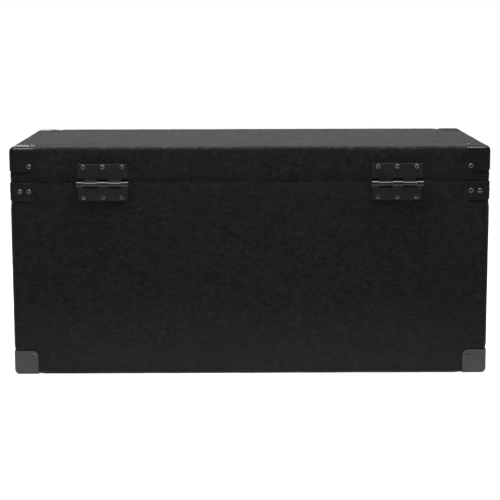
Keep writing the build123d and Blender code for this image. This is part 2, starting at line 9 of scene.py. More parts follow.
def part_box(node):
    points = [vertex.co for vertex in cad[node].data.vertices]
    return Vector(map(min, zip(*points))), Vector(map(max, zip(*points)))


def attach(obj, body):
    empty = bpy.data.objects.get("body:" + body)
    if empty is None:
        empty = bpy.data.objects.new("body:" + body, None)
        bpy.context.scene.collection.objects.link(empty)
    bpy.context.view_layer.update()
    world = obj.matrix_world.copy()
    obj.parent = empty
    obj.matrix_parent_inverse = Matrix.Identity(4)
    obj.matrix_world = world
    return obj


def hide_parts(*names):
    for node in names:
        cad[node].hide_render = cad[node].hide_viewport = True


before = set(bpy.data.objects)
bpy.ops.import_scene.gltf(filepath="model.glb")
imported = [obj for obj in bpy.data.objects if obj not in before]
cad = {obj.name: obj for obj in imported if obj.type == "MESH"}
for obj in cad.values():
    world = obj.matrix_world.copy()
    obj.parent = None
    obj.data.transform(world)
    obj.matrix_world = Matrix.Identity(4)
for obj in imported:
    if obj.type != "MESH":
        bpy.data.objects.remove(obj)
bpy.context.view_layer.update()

# Lengths are in metres. Waves, dimples and the scales of noises are so many to a metre

# Camera
camera_place = (0.01215, 2.5177, 0.5777)
camera_tilt_down = 9.155
camera_turn = 179.712
camera_roll = -0.149
camera_lens = 108.46

# Felt carpet
felt = 0.003
felt_edge = 0.0065
felt_rim = 0.0016
felt_fold = 0.0012
felt_fold_steps = 3
felt_fold_lead = 1.5
felt_rim_steps = 5
felt_turn_steps = 6
felt_step = 0.0042
felt_ripple = 0.0004
felt_waves = 26.0
felt_dimples = 210.0
felt_level = 0.45
felt_broad_share = 0.5
felt_fine_share = 0.35
felt_swell = 0.0012
felt_pressed_margin = 0.0015
felt_pressed_run = 0.011
felt_seam_margin = 0.002
felt_seam_run = 0.008
felt_pull = 0.02
felt_cloth_gap = 0.0001
# Height under which the felt is lightened as painted floor-bounce light
felt_painted_bounce_height = 0.13
plywood = 0.009
ply = 0.0028
base_flat = (1.37, 0.97)
base_flat_area = 0.965
lid_flat = (0.882, 0.482)
lid_flat_area = 0.405

# Pressed steel
steel = 0.0012
corner_leg = 0.038
corner_radius = 0.0077
corner_free_radius = 0.008
corner_steps = 7
corner_flat_steps = 6
pressed_edge = 0.00035
leaf_edge = 0.0003
knob_edge = 0.0005
thin_edge = 0.0002
coat_mottle = 1.45
weld = 0.000004
flat_angle = math.radians(0.6)
smooth_angle = math.radians(33)
crease_angle = math.radians(50)

# Blind rivets
rivet_radius = 0.004
rivet_height = 0.0018
rivet_hole = 0.0016
rivet_sink = 0.0001
rivet_shank = 0.003
rivet_around = 28
rivet_rings = 11
rivet_dome_share = 0.9
rivet_under_share = 0.95
rivet_hole_depth = 0.75

# End handles
bail_radius = 0.0034
bail_bend = 0.009
bail_stub = 0.0215
bail_stub_step = 0.001
bail_bend_steps = 12
bail_sides = 20
bail_raised = 0.050
grip_half = 0.042
grip_radius = 0.0089
grip_end_radius = 0.0074
grip_taper = 0.008
grip_rib_pitch = 0.0042
grip_rib_depth = 0.0004
grip_rib_sharpness = 3
grip_steps = 150
grip_sides = 36
grip_crease_angle = math.radians(60)

# Foam
foam_edge = 0.0022
foam_edge_steps = 4
foam_step = 0.012
foam_ripple = 0.0005
foam_waves = 18.0

# Noise that makes felt and foam uneven
noise_fade = 1.0
noise_step = 2.0
noise_octaves = 3

# Floor and light
floor_reach = 6.0
floor_tone = 0.93
floor_glow = 0.80
sky_behind = 0.30
sky_before = 0.15
sky_turn = 0.4


# Small tools for meshes

def show(name, mesh):
    """A new object with this mesh, in the scene."""
    piece = bpy.data.objects.new(name, mesh)
    bpy.context.scene.collection.objects.link(piece)
    return piece


def mesh_of(name, points, faces):
    """A smooth mesh from points and faces, with its doubles merged and its faces pointing outwards."""
    mesh = bpy.data.meshes.new(name)
    mesh.from_pydata([tuple(point) for point in points], [], faces)
    shell = bmesh.new()
    shell.from_mesh(mesh)
    bmesh.ops.remove_doubles(shell, verts=shell.verts, dist=weld)
    bmesh.ops.recalc_face_normals(shell, faces=shell.faces)
    shell.to_mesh(mesh)
    shell.free()
    mesh.shade_smooth()
    return mesh


def grid_faces(rows, columns, start=0, closed=False):
    """Quads between rows of points; closed joins the last column to the first."""
    faces = []
    for row in range(rows - 1):
        for column in range(columns if closed else columns - 1):
            after = (column + 1) % columns
            low = start + row * columns
            high = low + columns
            faces.append((low + column, low + after, high + after, high + column))
    return faces


def settle(piece):
    """Turn the piece's modifiers into its mesh."""
    evaluated = piece.evaluated_get(bpy.context.evaluated_depsgraph_get())
    mesh = bpy.data.meshes.new_from_object(evaluated)
    piece.modifiers.clear()
    piece.data = mesh
    return mesh


def joined_triangles(node):
    """A copy of a CAD node's mesh with its loose triangles joined."""
    shell = bmesh.new()
    shell.from_mesh(cad[node].data)
    bmesh.ops.remove_doubles(shell, verts=shell.verts, dist=weld)
    return shell


def soft_noise(place, waves):
    """Smooth unevenness about zero, with so many waves a metre."""
    return noise.fractal(place * waves, noise_fade, noise_step, noise_octaves)


def islands(shell):
    """The points of each separate piece of a mesh, which is freed."""
    left = set(shell.verts)
    pieces = []
    while left:
        island = [left.pop()]
        for vertex in island:
            beside = [edge.other_vert(vertex) for edge in vertex.link_edges]
            new = [other for other in beside if other in left]
            left.difference_update(new)
            island.extend(new)
        pieces.append(np.array([tuple(vertex.co) for vertex in island]))
    shell.free()
    return pieces


def dress(piece, body, slot, material, *replaced):
    """Give a piece its material and body, and hide the CAD nodes that it stands for; the slot is not used.
    """
    piece.data.materials.clear()
    piece.data.materials.append(material)
    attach(piece, body)
    if replaced:
        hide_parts(*replaced)


# Node wiring

def wire(tree, socket, value):
    """Link a socket to another one, or set its value."""
    if isinstance(value, bpy.types.NodeSocket):
        tree.links.new(value, socket)
    else:
        socket.default_value = value


def add(tree, kind, inputs=None, **settings):
    """A node with its settings made and its inputs wired."""
    node = tree.nodes.new(kind)
    for name, value in settings.items():
        setattr(node, name, value)
    for name, value in (inputs or {}).items():
        wire(tree, node.inputs[name], value)
    return node


def maths(tree, operation, first, second=0.0, third=0.0):
    """The result of one sum."""
    kind = "ShaderNodeMath"
    return add(tree, kind, {0: first, 1: second, 2: third}, operation=operation).outputs[0]


def blend_colour(tree, amount, first, second):
    """A mix of two colours."""
    node = add(tree, "ShaderNodeMix", data_type="RGBA")
    wire(tree, node.inputs[0], amount)
    wire(tree, node.inputs[6], first)
    wire(tree, node.inputs[7], second)
    return node.outputs[2]


def between(tree, value, low, high, to_low=0.0, to_high=1.0):
    """A value carried from one range to another, and held inside it."""
    inputs = {"Value": value, "From Min": low, "From Max": high, "To Min": to_low, "To Max": to_high}
    return add(tree, "ShaderNodeMapRange", inputs).outputs[0]


def grey(level, blue=0.0):
    """A grey, with so much more blue in it."""
    return (level, level, level + blue, 1.0)


def split(tree, vector):
    """The X, Y and Z of a vector."""
    return add(tree, "ShaderNodeSeparateXYZ", {0: vector}).outputs


def facing(tree):
    """The X, Y and Z of the way that the surface faces."""
    return split(tree, add(tree, "ShaderNodeNewGeometry").outputs["Normal"])


def object_place(tree):
    """The place on the piece, in metres."""
    return add(tree, "ShaderNodeTexCoord").outputs["Object"]


def stretched(tree, vector, scale):
    """A place scaled along each axis."""
    return add(tree, "ShaderNodeMapping", {"Vector": vector, "Scale": scale}).outputs[0]


def grains(tree, vector, scale, detail=3.0, roughness=0.5, distortion=0.0):
    """Noise at so many features a metre."""
    inputs = {
        "Vector": vector, "Scale": scale, "Detail": detail,
        "Roughness": roughness, "Distortion": distortion,
    }
    return add(tree, "ShaderNodeTexNoise", inputs).outputs[0]


def effect(name, inputs, outputs):
    """A shader node group with named inputs and outputs."""
    group = bpy.data.node_groups.new(name, "ShaderNodeTree")
    for label, kind, value in inputs:
        socket = group.interface.new_socket(label, in_out="INPUT", socket_type="NodeSocket" + kind)
        if value is not None:
            socket.default_value = value
    for label, kind in outputs:
        group.interface.new_socket(label, in_out="OUTPUT", socket_type="NodeSocket" + kind)
    return group, group.nodes.new("NodeGroupInput"), group.nodes.new("NodeGroupOutput")


def use(tree, group, inputs):
    """An effect placed in a material."""
    node = tree.nodes.new("ShaderNodeGroup")
    node.node_tree = group
    for name, value in inputs.items():
        wire(tree, node.inputs[name], value)
    return node.outputs


def finish_named(name, settings):
    """A new material with its constant settings made, its node tree and its surface shader."""
    material = bpy.data.materials.new(name)
    material.use_nodes = True
    tree = material.node_tree
    surface = tree.nodes["Principled BSDF"]
    for label, value in settings.items():
        surface.inputs[label].default_value = value
    return material, tree, surface


def bumped(tree, height, strength, distance, normal=None):
    """A bumped normal."""
    inputs = {"Height": height, "Strength": strength, "Distance": distance}
    if normal is not None:
        inputs["Normal"] = normal
    return add(tree, "ShaderNodeBump", inputs).outputs[0]


# Effects that several finishes share

def make_rub():
    """Where a coat is rubbed thin: on pressed edges and in small chips."""
    group, given, made = effect(
        "rub",
        [
            ("Place", "Vector", None),
            ("Edge", "Float", 0.0),
            ("Chips", "Float", 0.3),
            ("Reach", "Float", 0.5),
        ],
        [("Mask", "Float")],
    )
    broken = grains(group, given.outputs["Place"], 240.0, detail=5.0, roughness=0.7)
    edge = maths(group, "MULTIPLY", given.outputs["Edge"], between(group, broken, 0.38, 0.62))
    chip = between(group, grains(group, given.outputs["Place"], 620.0, roughness=0.6), 0.70, 0.76)
    chips = maths(group, "MULTIPLY", chip, given.outputs["Chips"])
    mask = maths(group, "ADD", maths(group, "MULTIPLY", edge, given.outputs["Reach"]), chips)
    wire(group, made.inputs["Mask"], maths(group, "MINIMUM", mask, 1.0))
    return group


def make_dust():
    """Fine dust that settles on what faces up, and a little everywhere."""
    group, given, made = effect(
        "dust",
        [("Place", "Vector", None), ("Amount", "Float", 0.3)],
        [("Mask", "Float")],
    )
    up = between(group, facing(group)["Z"], 0.1, 1.0, 0.25, 1.0)
    cloud = grains(group, given.outputs["Place"], 34.0, detail=6.0, roughness=0.7)
    cloud = between(group, cloud, 0.35, 0.75)
    mask = maths(group, "MULTIPLY", maths(group, "MULTIPLY", up, cloud), given.outputs["Amount"])
    wire(group, made.inputs["Mask"], mask)
    return group


def make_fibres():
    """Matted fibres: a broad mottle, drawn out along the case, and fine crossing threads."""
    group, given, made = effect(
        "fibres",
        [("Place", "Vector", None), ("Mottle", "Float", 110.0), ("Thread", "Float", 700.0)],
        [("Mottle", "Float"), ("Thread", "Float"), ("Height", "Float")],
    )
    drawn = stretched(group, given.outputs["Place"], (0.42, 0.6, 1.0))
    broad = grains(group, drawn, given.outputs["Mottle"], detail=6.0, roughness=0.74, distortion=0.3)
    mottle = between(group, broad, 0.36, 0.66)
    along = stretched(group, given.outputs["Place"], (0.35, 1.0, 1.0))
    across = stretched(group, given.outputs["Place"], (1.0, 0.9, 0.35))
    first = grains(group, along, given.outputs["Thread"], roughness=0.6, distortion=1.6)
    second = grains(group, across, given.outputs["Thread"], roughness=0.6, distortion=1.6)
    thread = between(group, maths(group, "MAXIMUM", first, second), 0.45, 0.72)
    low = maths(group, "MULTIPLY", mottle, 0.45)
    height = maths(group, "ADD", low, maths(group, "MULTIPLY", thread, 0.55))
    wire(group, made.inputs["Mottle"], mottle)
    wire(group, made.inputs["Thread"], thread)
    wire(group, made.inputs["Height"], height)
    return group


rub = make_rub()
dust = make_dust()
fibres = make_fibres()


# Finishes

def dusted(tree, place, amount, tone, colour):
    """A tone under settled dust, and where the dust lies."""
    settled = use(tree, dust, {"Place": place, "Amount": amount})["Mask"]
    return blend_colour(tree, settled, tone, colour), settled


def black_felt():
    """Black needle felt with threads, lint and dust caught in clumps; the dust is thicker on the top as
    painted top light, and the felt is lightened near the floor as painted floor-bounce light.
    """
    material, tree, surface = finish_named("black_felt", {
        "Specular IOR Level": 0.10, "Sheen Weight": 0.355, "Sheen Roughness": 0.38,
        "Sheen Tint": (0.62, 0.62, 0.64, 1.0),
    })
    place = object_place(tree)
    upward = facing(tree)["Z"]
    matted = use(tree, fibres, {"Place": place, "Mottle": 150.0, "Thread": 560.0})
    tufts = grains(tree, stretched(tree, place, (0.6, 0.7, 1.0)), 245.0, detail=5.0, roughness=0.70)
    tufted = between(tree, tufts, 0.42, 0.60)
    patch = maths(tree, "MULTIPLY", maths(tree, "ADD", matted["Mottle"], tufted), 0.5)
    shade = blend_colour(tree, patch, grey(0.0016, 0.0001), grey(0.0156, 0.0003))
    threads = maths(tree, "MULTIPLY", matted["Thread"], 0.5)
    shade = blend_colour(tree, threads, shade, grey(0.018, 0.0004))
    settled = use(tree, dust, {"Place": place, "Amount": 0.50})["Mask"]
    clumps = grains(tree, place, 140.0, detail=4.0, roughness=0.6)
    clumped = between(tree, clumps, 0.46, 0.58)
    # The lodged dust is thickened on the top: part real dust, part painted light that makes the lit top
    # lighter.
    level = between(tree, upward, 0.3, 0.9, 1.0, 2.7)
    lodged_dust_and_top_light = maths(tree, "MULTIPLY", maths(tree, "MULTIPLY", settled, clumped), level)
    # Painted floor-bounce light: the felt is lightened with the dust colour towards the floor, though no
    # dust lies there.
    height = split(tree, place)["Z"]
    painted_floor_bounce = between(tree, height, 0.0, felt_painted_bounce_height, 0.145, 0.0)
    shade = blend_colour(tree, maths(tree, "ADD", lodged_dust_and_top_light, painted_floor_bounce), shade, (0.078, 0.076, 0.073, 1))
    speck = add(tree, "ShaderNodeTexVoronoi", {"Vector": place, "Scale": 18.0})
    lint = between(tree, speck.outputs["Distance"], 0.012, 0.022, 0.5, 0.0)
    shade = blend_colour(tree, lint, shade, (0.16, 0.155, 0.15, 1))
    wire(tree, surface.inputs["Base Color"], shade)
    wire(tree, surface.inputs["Roughness"], between(tree, matted["Thread"], 0.0, 1.0, 0.98, 0.82))
    nap = between(tree, upward, 0.3, 0.9, 0.38, 0.86)
    matting = bumped(tree, matted["Height"], strength=0.75, distance=0.0009)
    raised = bumped(tree, tufts, strength=nap, distance=0.0068, normal=matting)
    wire(tree, surface.inputs["Normal"], raised)
    return material


def coated_steel(name, coat, bare, roughness, specular, reach):
    """Pressed steel under a satin coat that is rubbed on its edges down to a bare grey."""
    material, tree, surface = finish_named(name, {"Specular IOR Level": specular})
    place = object_place(tree)
    edge = add(tree, "ShaderNodeAttribute", attribute_name="pressed_edge").outputs["Fac"]
    worn = use(tree, rub, {"Place": place, "Edge": edge, "Chips": 0.35, "Reach": reach})["Mask"]
    cloud = grains(tree, place, 55.0, detail=5.0, roughness=0.6)
    peel = grains(tree, place, 900.0, detail=2.0)
    lighter = tuple(coat_mottle * part for part in coat[:3]) + (1.0,)
    tone = blend_colour(tree, between(tree, cloud, 0.35, 0.68), coat, lighter)
    tone = blend_colour(tree, worn, tone, grey(bare))
    tone, settled = dusted(tree, place, 0.05, tone, (0.09, 0.085, 0.08, 1))
    wire(tree, surface.inputs["Base Color"], tone)
    wire(tree, surface.inputs["Metallic"], maths(tree, "MULTIPLY", worn, 0.75))
    matt = between(tree, cloud, 0.3, 0.7, roughness, roughness + 0.10)
    dulled = maths(tree, "ADD", matt, maths(tree, "MULTIPLY", settled, 0.6))
    wire(tree, surface.inputs["Roughness"], dulled)
    wire(tree, surface.inputs["Normal"], bumped(tree, peel, strength=0.10, distance=0.0002))
    return material


def rivet_finish():
    """A black-coated blind rivet, its dome rubbed bright round the mandrel hole, which is painted
    near-black as shade.
    """
    material, tree, surface = finish_named("rivet_coat", {"Specular IOR Level": 0.5})
    place = object_place(tree)
    across = add(tree, "ShaderNodeAttribute", attribute_name="across_head").outputs["Fac"]
    crown = between(tree, across, 0.62, 0.95, 1.0, 0.0)
    worn = use(tree, rub, {"Place": place, "Edge": crown, "Chips": 0.4, "Reach": 0.95})["Mask"]
    # Painted shade: the mandrel hole is painted near-black and kept rough.
    hole = between(tree, across, 0.39, 0.43, 1.0, 0.0)
    tone = blend_colour(tree, worn, grey(0.020, 0.001), grey(0.26))
    tone = blend_colour(tree, hole, tone, grey(0.004))
    wire(tree, surface.inputs["Base Color"], tone)
    shine = maths(tree, "MULTIPLY", maths(tree, "SUBTRACT", 1.0, hole), worn)
    wire(tree, surface.inputs["Metallic"], maths(tree, "MULTIPLY", shine, 0.7))
    satin = between(tree, grains(tree, place, 400.0), 0.3, 0.7, 0.22, 0.36)
    wire(tree, surface.inputs["Roughness"], maths(tree, "MAXIMUM", satin, hole))
    return material


def plywood_finish(name, thickness_axis):
    """Birch plywood: a long grain on its faces, and stacked plies on its sawn edges."""
    material, tree, surface = finish_named(name, {"Specular IOR Level": 0.3})
    place = object_place(tree)
    lie = {"X": (9.0, 1.0, 5.0), "Y": (0.5, 9.0, 6.0), "Z": (0.5, 6.0, 9.0)}[thickness_axis]
    drawn = stretched(tree, place, lie)
    grain = grains(tree, drawn, 26.0, detail=8.0, roughness=0.62, distortion=0.8)
    closer = stretched(tree, place, tuple(3 * part for part in lie))
    pore = grains(tree, closer, 90.0, detail=4.0, roughness=0.6)
    streak = between(tree, grain, 0.3, 0.7)
    face = blend_colour(tree, streak, (0.60, 0.43, 0.25, 1), (0.74, 0.58, 0.38, 1))
    face = blend_colour(tree, between(tree, pore, 0.56, 0.70, 0.0, 0.35), face, (0.34, 0.22, 0.12, 1))
    depth = split(tree, place)[thickness_axis]
    layer = maths(tree, "FRACT", maths(tree, "MULTIPLY", depth, 1 / ply))
    stripe = between(tree, maths(tree, "ABSOLUTE", maths(tree, "SUBTRACT", layer, 0.5)), 0.20, 0.28)
    edge = blend_colour(tree, stripe, (0.62, 0.46, 0.28, 1), (0.30, 0.19, 0.10, 1))
    turned = maths(tree, "ABSOLUTE", facing(tree)[thickness_axis])
    tone = blend_colour(tree, maths(tree, "GREATER_THAN", turned, 0.5), edge, face)
    tone = dusted(tree, place, 0.12, tone, (0.62, 0.58, 0.52, 1))[0]
    wire(tree, surface.inputs["Base Color"], tone)
    wire(tree, surface.inputs["Roughness"], between(tree, grain, 0.3, 0.7, 0.55, 0.72))
    relief = maths(tree, "ADD", grain, pore)
    wire(tree, surface.inputs["Normal"], bumped(tree, relief, strength=0.18, distance=0.0004))
    return material


def foam_finish():
    """Charcoal closed-cell foam with fine open pores on its cut skin, painted darker inside as shade."""
    material, tree, surface = finish_named("charcoal_foam", {
        "Specular IOR Level": 0.15, "Sheen Weight": 0.25, "Sheen Roughness": 0.6,
    })
    place = object_place(tree)
    cells = add(tree, "ShaderNodeTexVoronoi", {"Vector": place, "Scale": 620.0}).outputs["Distance"]
    cloud = grains(tree, place, 30.0, detail=5.0, roughness=0.6)
    tone = blend_colour(tree, between(tree, cloud, 0.3, 0.7), grey(0.030, 0.002), grey(0.048, 0.003))
    # Painted shade: the open pores are painted darker.
    tone = blend_colour(tree, between(tree, cells, 0.15, 0.45, 0.6, 0.0), tone, grey(0.014, 0.001))
    tone = dusted(tree, place, 0.18, tone, (0.12, 0.115, 0.11, 1))[0]
    wire(tree, surface.inputs["Base Color"], tone)
    wire(tree, surface.inputs["Roughness"], between(tree, cloud, 0.3, 0.7, 0.85, 0.97))
    wire(tree, surface.inputs["Normal"], bumped(tree, cells, strength=0.5, distance=0.0006))
    return material


def pin_finish():
    """Plain turned steel, lightly oiled."""
    material, tree, surface = finish_named("turned_steel", {})
    place = object_place(tree)
    rings = grains(tree, stretched(tree, place, (14.0, 1.0, 1.0)), 130.0, detail=4.0, roughness=0.6)
    tone = blend_colour(tree, between(tree, rings, 0.3, 0.7), grey(0.26, 0.01), grey(0.42, 0.01))
    tone, settled = dusted(tree, place, 0.12, tone, (0.10, 0.09, 0.08, 1))
    wire(tree, surface.inputs["Base Color"], tone)
    wire(tree, surface.inputs["Metallic"], maths(tree, "SUBTRACT", 1.0, settled))
    wire(tree, surface.inputs["Roughness"], between(tree, rings, 0.3, 0.7, 0.24, 0.38))
    wire(tree, surface.inputs["Normal"], bumped(tree, rings, strength=0.08, distance=0.0002))
    return material


def rubber_finish():
    """Moulded matt black rubber with a grey bloom where hands have rubbed it."""
    material, tree, surface = finish_named("grip_rubber", {"Specular IOR Level": 0.35})
    place = object_place(tree)
    cloud = grains(tree, place, 70.0, detail=6.0, roughness=0.65)
    skin = grains(tree, place, 1500.0, detail=2.0)
    tone = blend_colour(tree, between(tree, cloud, 0.35, 0.7), grey(0.013, 0.001), grey(0.030, 0.001))
    tone = dusted(tree, place, 0.25, tone, (0.11, 0.105, 0.10, 1))[0]
    wire(tree, surface.inputs["Base Color"], tone)
    wire(tree, surface.inputs["Roughness"], between(tree, cloud, 0.3, 0.7, 0.62, 0.85))
    wire(tree, surface.inputs["Normal"], bumped(tree, skin, strength=0.22, distance=0.0002))
    return material


felt_cloth = black_felt()
leaf_coat = coated_steel(
    "leaf_coat", coat=grey(0.0085, 0.0003), bare=0.16, roughness=0.12, specular=0.43, reach=0.40,
)
corner_coat = coated_steel(
    "corner_coat", coat=grey(0.0032, 0.0002), bare=0.10, roughness=0.25, specular=0.30, reach=0.25,
)
# The base corners' coat is a lighter grey than the lid corners': painted reflection of the white floor, on
# a coat that is also more worn.
painted_floor_reflection_coat = coated_steel(
    "painted_floor_reflection_coat", coat=grey(0.036, 0.001), bare=0.34, roughness=0.40, specular=0.5, reach=0.70,
)
latch_coat = coated_steel(
    "latch_coat", coat=grey(0.0065, 0.0005), bare=0.26, roughness=0.32, specular=0.45, reach=0.65,
)
rivet_coat = rivet_finish()
foam_skin = foam_finish()
pin_steel = pin_finish()
grip_skin = rubber_finish()
plywood_by_axis = {axis: plywood_finish(f"birch_ply_{axis.lower()}", axis) for axis in "XYZ"}


# Carpets

def rounded_ring(half_x, half_y, radius, z, across, along):
    """Points round a rounded rectangle, with even steps on its sides and arcs round its corners."""
    ring = []
    for turn, (sx, sy) in enumerate(((1, 1), (-1, 1), (-1, -1), (1, -1))):
        x = sx * (half_x - radius)
        y = sy * (half_y - radius)
        start = math.pi / 2 * turn
        for index in range(felt_turn_steps):
            angle = start + math.pi / 2 * index / felt_turn_steps
            ring.append((x + radius * math.cos(angle), y + radius * math.sin(angle), z))
        after = start + math.pi / 2
        first = Vector((x, y, z)) + radius * Vector((math.cos(after), math.sin(after), 0))
        if turn in (0, 2):
            last = Vector((-first.x, first.y, z))
            count = across
        else:
            last = Vector((first.x, -first.y, z))
            count = along
        for index in range(count):
            ring.append(tuple(first.lerp(last, index / count)))
    return ring


def eased(distance, run):
    """A smooth rise from 0 to 1 over a run."""
    share = np.clip(distance / run, 0.0, 1.0)
    return share * share * (3 - 2 * share)


def ripple(point):
    """How uneven the felt is at a place, from 0 to 1."""
    broad = soft_noise(Vector(point), felt_waves)
    fine = noise.noise(Vector(point) * felt_dimples)
    return min(1.0, max(0.0, felt_level + felt_broad_share * broad + felt_fine_share * fine))


def fittings_on_felt():
    """The box of every fitting that presses on the felt or moves close to it."""
    boxes = []
    in_pairs = ("base_corners", "lid_corners", "rim_brackets", "hinge_upper", "hinge_lower")
    for node in cad:
        if node.endswith("_rivets"):
            continue
        if node.startswith(in_pairs):
            boxes += [(points.min(0), points.max(0)) for points in islands(joined_triangles(node))]
        elif node.endswith(("_keeper", "_plate")) or node.startswith("latch"):
            boxes.append(tuple(np.array(corner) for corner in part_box(node)))
        elif node.startswith("handle_") and node.endswith("_bail"):
            low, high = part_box(node)
            boxes.append((np.array(low), np.array((high.x, high.y, high.z + bail_raised))))
    return boxes


def swollen(points, middle, half, fittings, seam):
    """Places on the felt lifted off the board, but pressed flat under the fittings and at the rim."""
    low = middle - half + felt_pull
    core = np.clip(points, low, 2 * middle - low)
    outward = points - core
    outward /= np.linalg.norm(outward, axis=1, keepdims=True)
    lift = eased(np.abs(points[:, 2] - seam) - felt_seam_margin, felt_seam_run)
    for box_low, box_high in fittings:
        away = np.linalg.norm(points - np.clip(points, box_low, box_high), axis=1)
        lift = lift * eased(away - felt_pressed_margin, felt_pressed_run)
    uneven = np.array([ripple(point) for point in points])
    return points + outward * (felt_swell * lift - felt_ripple * uneven)[:, None]


def arc_profile(inset, z, radius, start, end, steps, upward):
    """(inset, z) points of a quarter round, between two angles from the wall's own direction."""
    points = []
    for index in range(steps + 1):
        angle = math.radians(start + (end - start) * index / steps)
        points.append((inset - radius * math.cos(angle), z + upward * radius * math.sin(angle)))
    return points


def felt_profile(rim, foot, upward):
    """The felt tub's outline from the inner fold, over the rim, down the wall and round to its end."""
    wall = felt + plywood
    top = [(wall, rim - upward * felt), (wall, rim - upward * felt_fold_lead * felt_fold)]
    bend = rim - upward * felt_fold
    inner = arc_profile(wall - felt_fold, bend, -felt_fold, 0, 90, felt_fold_steps, -upward)
    low = foot + upward * felt_edge
    high = rim - upward * felt_rim
    over = arc_profile(felt_rim, high, felt_rim, 90, 0, felt_rim_steps, upward)
    count = max(2, round(abs(high - low) / felt_step))
    side = [(0.0, high + (low - high) * index / count) for index in range(1, count)]
    turn = arc_profile(felt_edge, low, felt_edge, 0, 90, felt_turn_steps, -upward)
    return top + inner + over + side + turn


def felt_tub(name, half_x, half_y, rim, foot, upward, fittings, seam):
    """A closed felt tub: a rippled shown skin, and a glued side a felt's thickness inside it."""
    across = round(2 * (half_x - felt_edge) / felt_step)
    along = round(2 * (half_y - felt_edge) / felt_step)
    outline = felt_profile(rim, foot, upward)
    shown = len(outline)
    glued = felt - felt_cloth_gap
    inner_foot = foot + upward * glued
    outline += [
        (felt_edge + glued, inner_foot),
        (felt_edge, inner_foot),
        (glued, inner_foot + upward * (felt_edge - glued)),
        (glued, rim - upward * felt),
    ]
    rings = []
    for inset, z in outline:
        radius = max(felt_edge - inset, 0.0)
        rings.append(rounded_ring(half_x - inset, half_y - inset, radius, z, across, along))
    columns = len(rings[0])
    points = [point for ring in rings for point in ring]
    faces = grid_faces(shown, columns, closed=True)
    faces += grid_faces(len(rings) - shown, columns, start=shown * columns, closed=True)
    faces.append(tuple(range(shown * columns, (shown + 1) * columns)))
    last = (len(rings) - 1) * columns
    for column in range(columns):
        after = (column + 1) % columns
        faces.append((last + column, last + after, after, column))
    flat = len(points)
    faces += grid_faces(along + 1, across + 1, start=flat)
    for y in np.linspace(felt_edge - half_y, half_y - felt_edge, along + 1):
        points += [(x, y, foot) for x in np.linspace(felt_edge - half_x, half_x - felt_edge, across + 1)]
    places = np.array(points)
    skin = np.zeros(len(places), dtype=bool)
    skin[columns:shown * columns] = True
    skin[flat:] = True
    middle = np.array((0.0, 0.0, (rim + foot) / 2))
    half = np.array((half_x, half_y, abs(rim - foot) / 2))
    places[skin] = swollen(places[skin], middle, half, fittings, seam)
    return show(name, mesh_of(name, places, faces))


def make_carpets():
    """The felt on the base and on the lid, each one glued skin folded over its rim."""
    fittings = fittings_on_felt()
    seam = (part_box("base_carpet")[1].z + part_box("lid_carpet")[0].z) / 2
    for part, body, rest, flat, area in (
        ("base", "case", "base_front_panel", base_flat, base_flat_area),
        ("lid", "lid", "lid_top_panel", lid_flat, lid_flat_area),
    ):
        low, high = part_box(f"{part}_carpet")
        half_x = (high.x - low.x) / 2
        half_y = (high.y - low.y) / 2
        rim, foot, upward = (high.z, low.z, 1) if part == "base" else (low.z, high.z, -1)
        skin = felt_tub(f"{part}_felt", half_x, half_y, rim, foot, upward, fittings, seam)
        dress(skin, body, "carpet", felt_cloth, f"{part}_carpet")


# Pressed steel

def softened(piece, material, width):
    """Round a piece's sharp edges a little, mark the rounded faces, and shade the piece smooth."""
    piece.data.materials.clear()
    piece.data.materials.append(material)
    piece.data.materials.append(material)
    piece.data.polygons.foreach_set("material_index", [0] * len(piece.data.polygons))
    bevel = piece.modifiers.new("pressed edge", "BEVEL")
    bevel.width = width
    bevel.segments = 2
    bevel.limit_method = "ANGLE"
    bevel.angle_limit = smooth_angle
    bevel.material = 1
    mesh = settle(piece)
    rounded = [float(polygon.material_index) for polygon in mesh.polygons]
    layer = mesh.attributes.new("pressed_edge", "FLOAT", "FACE")
    layer.data.foreach_set("value", rounded)
    mesh.polygons.foreach_set("material_index", [0] * len(mesh.polygons))
    mesh.shade_smooth()
    mesh.set_sharp_from_angle(angle=crease_angle)
    lean = piece.modifiers.new("flat faces", "WEIGHTED_NORMAL")
    lean.keep_sharp = True
    settle(piece)


def pressed_copy(node, name, body, material, width=pressed_edge):
    """A CAD node's shape with its flat faces made whole and its edges softened."""
    shell = joined_triangles(node)
    bmesh.ops.dissolve_limit(shell, angle_limit=flat_angle, verts=shell.verts, edges=shell.edges)
    mesh = bpy.data.meshes.new(name)
    shell.to_mesh(mesh)
    shell.free()
    piece = show(name, mesh)
    softened(piece, material, width)
    dress(piece, body, "black_steel", material, node)


def leg_grid(leg, radius, steps):
    """(u, v) places on one corner leg, closer where it bends, its free corner rounded."""
    straight = leg - corner_free_radius
    near = [radius * index / steps for index in range(steps)]
    middle = np.linspace(radius, straight, corner_flat_steps + 1)[:-1].tolist()
    far = [straight + corner_free_radius * index / steps for index in range(steps + 1)]
    marks = near + middle + far
    rows = []
    for v in marks:
        row = []
        for u in marks:
            across = (u - straight) / corner_free_radius
            along = (v - straight) / corner_free_radius
            if across > 0 and along > 0:
                row.append((
                    straight + corner_free_radius * across * math.sqrt(1 - along * along / 2),
                    straight + corner_free_radius * along * math.sqrt(1 - across * across / 2),
                ))
            else:
                row.append((u, v))
        rows.append(row)
    return rows


def on_ball_corner(point, radius):
    """A point on a cube corner, its legs along +X, +Y and +Z, moved onto the rounded corner."""
    core = Vector([max(part, radius) for part in point])
    away = Vector(point) - core
    if away.length < radius / 1000:
        return Vector(point)
    return core + away.normalized() * radius


